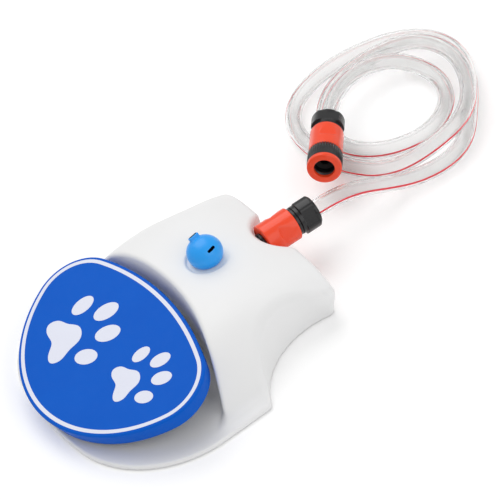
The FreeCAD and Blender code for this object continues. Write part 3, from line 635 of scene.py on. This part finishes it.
def build_nozzle():
    place = Matrix.Translation((0, NOZZLE_Y, NOZZLE_SEAT + BALL_LIFT))
    place = place @ Matrix.Rotation(math.radians(NOZZLE_TURN), 4, "Z")
    points, quads = field_surface(nozzle_field, NOZZLE_LOW, NOZZLE_HIGH, NOZZLE_STEP)
    cap = mesh_object("nozzle_ball", moved(points, place), quads, LOOKS["sky_blue"])
    cap.data.materials.append(PAINTED_SHADE_BLUE)
    # Faces on the bore and slot walls take the second material, a painted shade.
    middle = points[quads].mean(axis=1).T
    painted_shade_faces = np.minimum(spout_bore(*middle), ball_slot(*middle)) < PAINTED_SHADE_SKIN
    cap.data.polygons.foreach_set("material_index", painted_shade_faces.astype(int))
    return dress(cap, "nozzle", "sky_blue", "nozzle_cap")


# Quick connectors, about Z from the mouth to the hose

INLET_Z = 49.6
REAR_PLACE = Matrix.Translation((0, 130.0, INLET_Z)) @ Matrix.Rotation(math.radians(-90), 4, "X")
FREE_MOUTH = Vector((-63.47, 248.15, 43.75))
FREE_AXIS = Vector((-0.8058, 0.5811, -0.1144)).normalized()
SLEEVE_RADIUS = 17.6
SLEEVE_LENGTH = 35.3
HOLLOW_START = 13.6
HOLLOW_END = 31.0
HOLLOW_FLOOR = 14.4
HOLLOW_CORNER = 1.0
HOLLOW_LIP = 0.6
SLEEVE_ROUND = 0.9
MOUTH_ROUND = 1.4
MOUTH_LIP = (1.6, 9.4)
SLEEVE_BORE = (30.0, 13.1)
SKIRT_BORE = 15.4
GRIP_REACH = 18.5
NUT_RADIUS = 17.6
NUT_FLAT = 14.4
NUT_START = 43.4
NUT_END = 59.8
NUT_ROUND = 0.8
NUT_END_ROUND = 1.4
NUT_COLLAR = (15.2, 42.0, 2.4)
COLLAR_ROUND = 0.5
NUT_TAIL = (15.4, 59.6, 2.0)
TAIL_ROUND = 1.0
NUT_BORE = (52.6, 13.05)
HOSE_HOLE = 9.35
NUT_REACH = 19.0
CONNECTOR_STEP = 0.6
FLATS = 3
REAR_FLAT = -26.0
FREE_FLAT = -19.1


def free_place():
    turn = Vector((0, 0, 1)).rotation_difference(FREE_AXIS).to_matrix().to_4x4()
    return Matrix.Translation(FREE_MOUTH) @ turn


def around(x, y, first):
    """The distance out along each flat's normal."""
    angles = [math.radians(first + 360 / FLATS * i) for i in range(FLATS)]
    return [x * math.cos(angle) + y * math.sin(angle) for angle in angles]


def sleeve_field(first):
    """The orange grip: a plain sleeve with a finger hollow in line with each of the nut's flats."""

    def field(x, y, z):
        radius = np.hypot(x, y)
        form = round_max(radius - SLEEVE_RADIUS, z - SLEEVE_LENGTH, SLEEVE_ROUND)
        form = round_max(form, -z, MOUTH_ROUND)
        rise = (SLEEVE_RADIUS - HOLLOW_FLOOR) / (HOLLOW_END - HOLLOW_START)
        for out in around(x, y, first):
            floor = out - HOLLOW_FLOOR - rise * (z - HOLLOW_START)
            wall = (z - HOLLOW_START + out - SLEEVE_RADIUS) / math.sqrt(2)
            form = round_max(form, round_min(floor, wall, HOLLOW_CORNER), HOLLOW_LIP)
        ends, bores = zip(MOUTH_LIP, SLEEVE_BORE)
        bore = np.select([z < end for end in ends], bores, SKIRT_BORE)
        return np.maximum(form, bore - radius)

    return field


def band(radius, z, reach, middle, half, edge):
    """A round band about Z."""
    return round_max(radius - reach, np.abs(z - middle) - half, edge)


def nut_field(first):
    """The black hose nut: a round grip with three flats, a collar before it and a tapered end."""

    def field(x, y, z):
        radius = np.hypot(x, y)
        body = radius - NUT_RADIUS
        for out in around(x, y, first):
            body = round_max(body, out - NUT_FLAT, NUT_ROUND)
        body = round_max(body, z - NUT_END, NUT_END_ROUND)
        body = round_max(body, NUT_START - z, NUT_ROUND)
        collar = band(radius, z, *NUT_COLLAR, COLLAR_ROUND)
        tail = band(radius, z, *NUT_TAIL, TAIL_ROUND)
        form = np.minimum(np.minimum(body, collar), tail)
        bore = np.where(z < NUT_BORE[0], NUT_BORE[1], HOSE_HOLE)
        return np.maximum(form, bore - radius)

    return field


def build_connector(prefix, body_name, place, first):
    """The orange sleeve and the black nut of one coupling."""
    low, high = (-GRIP_REACH, -GRIP_REACH, -1), (GRIP_REACH, GRIP_REACH, 36.5)
    sleeve = field_object(f"{prefix}_grip", sleeve_field(first), low, high, CONNECTOR_STEP,
                          LOOKS["orange_plastic"], place)
    dress(sleeve, f"{prefix}_sleeve", "orange_plastic", f"{prefix}_sleeve")
    low, high = (-NUT_REACH, -NUT_REACH, 38.5), (NUT_REACH, NUT_REACH, 62.5)
    nut = field_object(f"{prefix}_hose_nut", nut_field(first), low, high, CONNECTOR_STEP,
                       LOOKS["black_plastic"], place)
    dress(nut, body_name, "black_plastic", f"{prefix}_nut")


TAP_RIBS = 40
RIB_DEPTH = 1.2
RIB_POINTS = 8
RIB_EDGE = 0.8
RIB_EDGE_SHARE = 0.3
TAP_GRIP = (-19.2, -0.8)
TAP_GRIP_RADIUS = 18.2
TAP_BORE = 10.5
TAP_RING = (-24.0, -19.3)
TAP_RING_RADIUS = 17.9
TAP_RING_BORE = 10.6
TAP_RING_ROUND = 1.9
TAP_RING_BACK = 0.3
TAP_RING_LIP = 0.5
TAP_RING_STEP = 0.5
TAP_RING_REACH = 19.0


def ribbed_grip(place):
    """The tap end's black grip, a ring with rounded ribs along it."""
    angles = np.linspace(0, 2 * math.pi, TAP_RIBS * RIB_POINTS, endpoint=False)
    wave = RIB_DEPTH * np.abs(np.sin(angles * TAP_RIBS / 2))
    low, high = TAP_GRIP
    near = RIB_EDGE * RIB_EDGE_SHARE
    loops = []
    for level, inset, share in ((low, RIB_EDGE, 0), (low + near, near, 0.5), (low + RIB_EDGE, 0, 1),
                                (high - RIB_EDGE, 0, 1), (high - near, near, 0.5), (high, RIB_EDGE, 0)):
        reach = TAP_GRIP_RADIUS - inset - RIB_DEPTH + wave * share
        loops.append([(r * math.cos(a), r * math.sin(a), level) for r, a in zip(reach, angles)])
    for level in (high, low):
        loops.append([(TAP_BORE * math.cos(a), TAP_BORE * math.sin(a), level) for a in angles])
    loops.append(loops[0])
    points, faces = loops_mesh(loops, closed_ends=False)
    return mesh_object("tap_ribs", moved(points, place), faces, LOOKS["black_plastic"])


def tap_ring_field(x, y, z):
    """The orange front ring of the tap end."""
    radius = np.hypot(x, y)
    front, back = TAP_RING
    ring = round_max(radius - TAP_RING_RADIUS, front - z, TAP_RING_ROUND)
    ring = round_max(ring, z - back, TAP_RING_BACK)
    return round_max(ring, TAP_RING_BORE - radius, TAP_RING_LIP)


def build_tap_end(place):
    dress(ribbed_grip(place), "tap_end", "black_plastic", "tap_grip")
    low, high = (-TAP_RING_REACH, -TAP_RING_REACH, -25), (TAP_RING_REACH, TAP_RING_REACH, -18.5)
    ring = field_object("tap_front", tap_ring_field, low, high, TAP_RING_STEP, LOOKS["orange_plastic"], place)
    dress(ring, "tap_end", "orange_plastic", "tap_ring")


# Hose

HOSE_ROUTE = [
    (0, 179, 49.6), (0, 208, 49.6), (-1, 240, 42), (-2, 273, 24), (1, 303, 12), (5, 328, 9.5),
    (5, 351, 9.5), (-3, 372, 9.5), (-18, 390, 9.5), (-36, 405, 9.5), (-56.6, 422, 9.5),
    (-83.6, 440.1, 9.5), (-111.1, 452.6, 9.5), (-138.1, 457.9, 9.5), (-163.5, 453.3, 9.5),
    (-185.1, 438.5, 9.5), (-199.8, 416.9, 9.5), (-208.8, 391.6, 9.5), (-213, 365, 9.5),
    (-213, 338, 9.5), (-207, 313, 9.5), (-196, 291, 9.5), (-178, 274, 9.5), (-156, 264, 9.5),
    (-131, 260, 9.5), (-104, 261, 9.5), (-78, 267, 9.5), (-55, 277, 9.5), (-36, 291, 9.5),
    (-22, 309, 13.5), (-13, 328, 20.5), (-9, 348, 26.5), (-11, 370, 28.7), (-20, 391, 28.7),
    (-36, 409, 28.7), (-56, 423, 28.7), (-79, 434, 28.7), (-104, 440, 28.7), (-131.4, 439.1, 28),
    (-156, 431, 25), (-172.1, 415, 22), (-183.3, 394.8, 17), (-190.5, 372.8, 12), (-190.3, 349.5, 9.5),
    (-180.4, 326.5, 9.5), (-164.6, 307, 9.5), (-144.2, 293, 9.5), (-121.9, 285.1, 9.5),
    (-99.7, 284.9, 9.5), (-78.5, 292.4, 9.5), (-60.7, 308, 9.5), (-50, 328.4, 9.5), (-45.2, 351.9, 9.5),
    (-50.5, 376.5, 9.5), (-67.3, 399.2, 9.5), (-91.6, 413.4, 9.5), (-117.8, 416.9, 10.5),
    (-139.5, 409.5, 15), (-155.5, 394, 21.5), (-163.4, 369.3, 27), (-161.1, 346.6, 30.5),
    (-152, 325.8, 33), (-139.1, 306.7, 34.2), (-123.1, 291.15, 35.28), (-102.95, 276.62, 38.14),
]
HOSE_RADIUS = 9.0
HOSE_BORE = 6.5
RED_HALF_ANGLE = 0.12
CLEAR_FROM = 0.25
CLEAR_SIDES = 32


def smooth_line(route):
    """Points along a smooth curve that has the route's points as its control points, in metres."""
    curve = bpy.data.curves.new("route", "CURVE")
    curve.dimensions = "3D"
    curve.resolution_u = 8
    spline = curve.splines.new("NURBS")
    spline.points.add(len(route) - 1)
    for point, place in zip(spline.points, route):
        point.co = (*(value * MM for value in place), 1)
    spline.order_u = 3
    spline.use_endpoint_u = True
    holder = bpy.data.objects.new("route", curve)
    bpy.context.scene.collection.objects.link(holder)
    bpy.context.view_layer.update()
    mesh = bpy.data.meshes.new_from_object(holder)
    line = np.array([vertex.co for vertex in mesh.vertices])
    bpy.data.objects.remove(holder)
    bpy.data.meshes.remove(mesh)
    return line


def build_hose():
    """A thick clear tube with a red line along its outer side."""
    line = smooth_line(HOSE_ROUTE)
    ahead = np.gradient(line, axis=0)
    ahead /= np.linalg.norm(ahead, axis=1)[:, None]
    side = np.cross(ahead, (0, 0, 1))
    side /= np.linalg.norm(side, axis=1)[:, None]
    up = np.cross(side, ahead)
    clear = np.linspace(CLEAR_FROM, 2 * math.pi - CLEAR_FROM, CLEAR_SIDES)
    angles = np.concatenate([[-RED_HALF_ANGLE, RED_HALF_ANGLE], clear])
    count = len(angles)

    def ring(i, radius):
        turn = np.cos(angles)[:, None] * side[i] + np.sin(angles)[:, None] * up[i]
        return line[i] / MM + radius * turn

    loops = [ring(i, HOSE_RADIUS) for i in range(len(line))]
    loops += [ring(i, HOSE_BORE) for i in reversed(range(len(line)))]
    loops.append(loops[0])
    points, faces = loops_mesh(loops, closed_ends=False)
    hose = mesh_object("clear_hose", points, faces, LOOKS["clear_hose"])
    hose.data.materials.append(RED_LINE)
    for i in range(len(line) - 1):
        hose.data.polygons[i * count].material_index = 1
    dress(hose, "base", "clear_hose", "hose")
    on_it = [f"{end}_{piece}" for end in ("rear", "free") for piece in ("core", "claws", "collet", "seal")]
    on_it += ["rear_grip", "rear_hose_nut", "free_grip", "free_hose_nut"]
    on_it += ["tap_ribs", "tap_front", "tap_nipple", "tap_washer"]


# Springs


def squash_springs():
    """Gives each spring a mesh of its own."""
    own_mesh(nodes["valve_spring"])
    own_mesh(nodes["return_springs"])


# Floor, light and camera

AIM = Vector((-10.64, 117.8, 40.0)) * MM
AZIMUTH = 70.0
ELEVATION = 42.0
ROLL = 19.3
DISTANCE = 2.5
FOCAL_PIXELS = 2520.0
FRAME_PIXELS = 500.0
SENSOR = 36.0
KEY_LIGHT = {"place": (-1.1, 0.2, 2.0), "size": 2.0, "power": 22.0}
FILL_LIGHT = {"place": (1.7, 0.6, 1.2), "size": 1.8, "power": 8.5}
LIGHT_AIM = (0, 0.1, 0)
SKY_STRENGTH = 0.62
FLOOR_HALF = 6000.0
FLOOR_GLOW = 0.12


def floor_white():
    """White plastic with a little light of its own for the camera, so that the ground is white."""
    material = plastic("floor", (0.97, 0.97, 0.97), (0.98, 0.98, 0.98), (0.9, 0.95))
    tree = material.node_tree
    shader = tree.nodes["Principled BSDF"]
    path = tree.nodes.new("ShaderNodeLightPath")
    share = tree.nodes.new("ShaderNodeMath")
    share.operation = "MULTIPLY"
    share.inputs[1].default_value = FLOOR_GLOW
    tree.links.new(path.outputs["Is Camera Ray"], share.inputs[0])
    tree.links.new(share.outputs[0], shader.inputs["Emission Strength"])
    shader.inputs["Emission Color"].default_value = (1, 1, 1, 1)
    return material


def build_floor():
    half = FLOOR_HALF
    corners = [(-half, -half, 0), (half, -half, 0), (half, half, 0), (-half, half, 0)]
    mesh_object("floor", corners, [(0, 1, 2, 3)], floor_white())


def area_light(name, place, size, power):
    """A square lamp that faces the object."""
    light = bpy.data.lights.new(name, "AREA")
    light.size = size
    light.energy = power
    lamp = bpy.data.objects.new(name, light)
    lamp.location = place
    lamp.rotation_euler = (Vector(LIGHT_AIM) - Vector(place)).to_track_quat("-Z", "Y").to_euler()
    bpy.context.scene.collection.objects.link(lamp)


def build_lights():
    world = bpy.data.worlds.new("studio")
    world.use_nodes = True
    world.node_tree.nodes["Background"].inputs["Color"].default_value = (1, 1, 1, 1)
    world.node_tree.nodes["Background"].inputs["Strength"].default_value = SKY_STRENGTH
    bpy.context.scene.world = world
    area_light("key", **KEY_LIGHT)
    area_light("fill", **FILL_LIGHT)


def build_camera():
    a, e, roll = (math.radians(value) for value in (AZIMUTH, ELEVATION, ROLL))
    back = Vector((math.sin(a) * math.cos(e), -math.cos(a) * math.cos(e), math.sin(e)))
    level = Vector((math.cos(a), math.sin(a), 0))
    upright = back.cross(level)
    right = math.cos(roll) * level - math.sin(roll) * upright
    up = math.sin(roll) * level + math.cos(roll) * upright
    camera = bpy.data.cameras.new("camera")
    camera.sensor_width = SENSOR
    camera.lens = SENSOR * FOCAL_PIXELS / FRAME_PIXELS
    camera.clip_end = 50
    holder = bpy.data.objects.new("camera", camera)
    turn = Matrix((right, up, back)).transposed().to_4x4()
    holder.matrix_world = Matrix.Translation(AIM + DISTANCE * back) @ turn
    bpy.context.scene.collection.objects.link(holder)
    bpy.context.scene.camera = holder


bpy.context.scene.view_settings.view_transform = "Standard"
paint_frame_nodes()
build_base()
build_tread()
build_nozzle()
build_connector("rear", "base", REAR_PLACE, REAR_FLAT)
build_connector("free", "base", free_place(), FREE_FLAT)
build_tap_end(free_place())
build_hose()
squash_springs()
build_floor()
build_lights()
build_camera()
